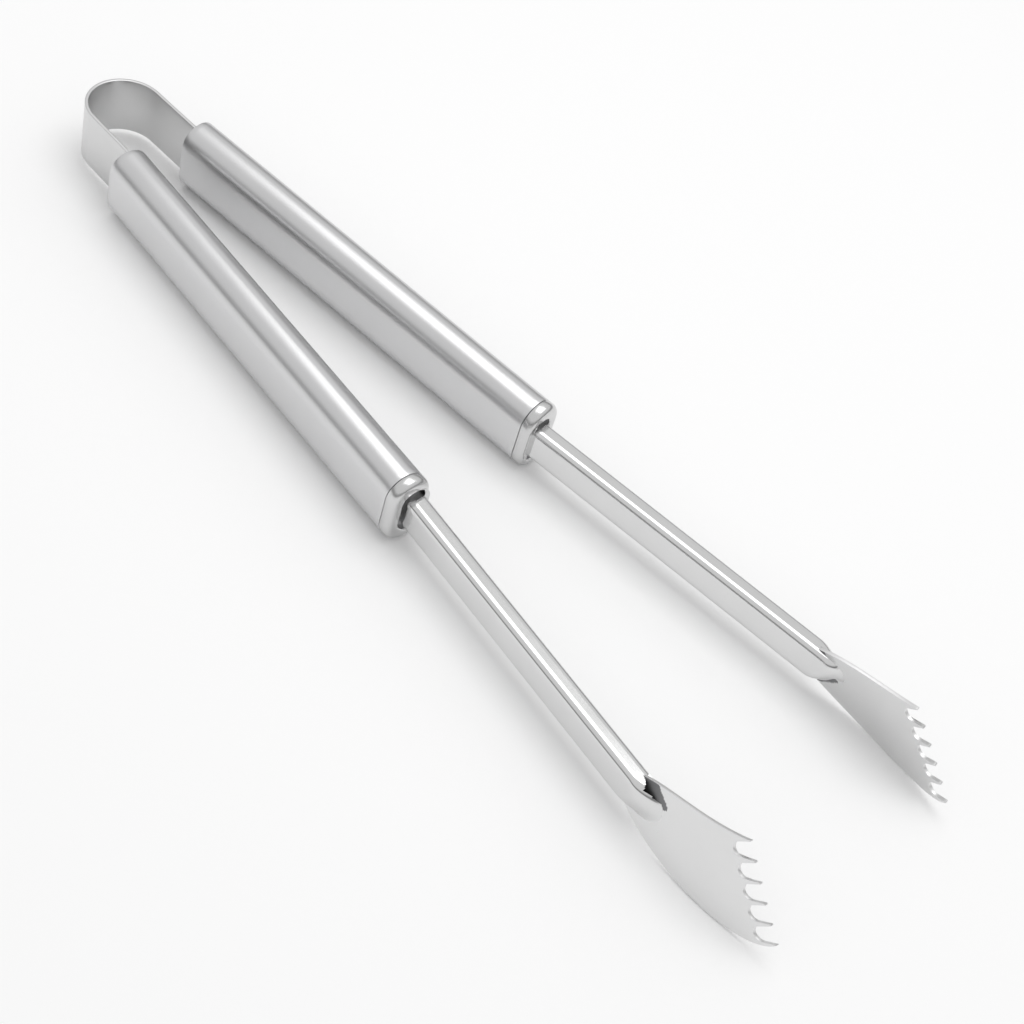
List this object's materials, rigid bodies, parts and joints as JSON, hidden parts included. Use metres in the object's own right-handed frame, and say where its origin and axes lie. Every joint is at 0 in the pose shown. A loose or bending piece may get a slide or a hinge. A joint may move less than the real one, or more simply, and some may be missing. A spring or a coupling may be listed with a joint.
{
  "type": "spring tongs",
  "caption": "Stainless spring tongs: a bent strip bow, hollow oval handles, slim rolled arms and flared blades with toothed ends.",
  "frame": {"origin": "centre of the bow's arc, half way up the strip's width, which is also the axis that the two sides flex about", "axes": "+X along the tongs from the bow to the teeth, +Y to the right-hand side across the splay, +Z across the strip's width, to the side where the teeth's upper corner stands out"},
  "size_m": [0.3543, 0.0852, 0.0304],
  "materials": {
    "spring_steel": "satin",
    "handle_steel": "satin brushed along the length",
    "cap_steel": "bright satin",
    "arm_steel": "polished",
    "liner_plastic": "matte",
    "rivet_steel": "plain"
  },
  "bodies": {
    "left_side": {"spring_bow": "spring_steel", "left_handle_tube": "handle_steel", "left_front_cap": "cap_steel", "left_rear_plug": "liner_plastic", "left_arm": "arm_steel", "left_rear_rivet": "rivet_steel", "left_front_rivet": "rivet_steel"},
    "right_side": {"right_handle_tube": "handle_steel", "right_front_cap": "cap_steel", "right_rear_plug": "liner_plastic", "right_arm": "arm_steel", "right_rear_rivet": "rivet_steel", "right_front_rivet": "rivet_steel"}
  },
  "joints": [
    {"name": "squeeze", "type": "hinge", "parent": "left_side", "child": "right_side", "pos_m": [0, 0, 0], "axis": [0, 0, -1], "range_deg": [-3, 12], "stiffness_Nm_per_rad": 4, "deforming": ["spring_bow"]}
  ]
}
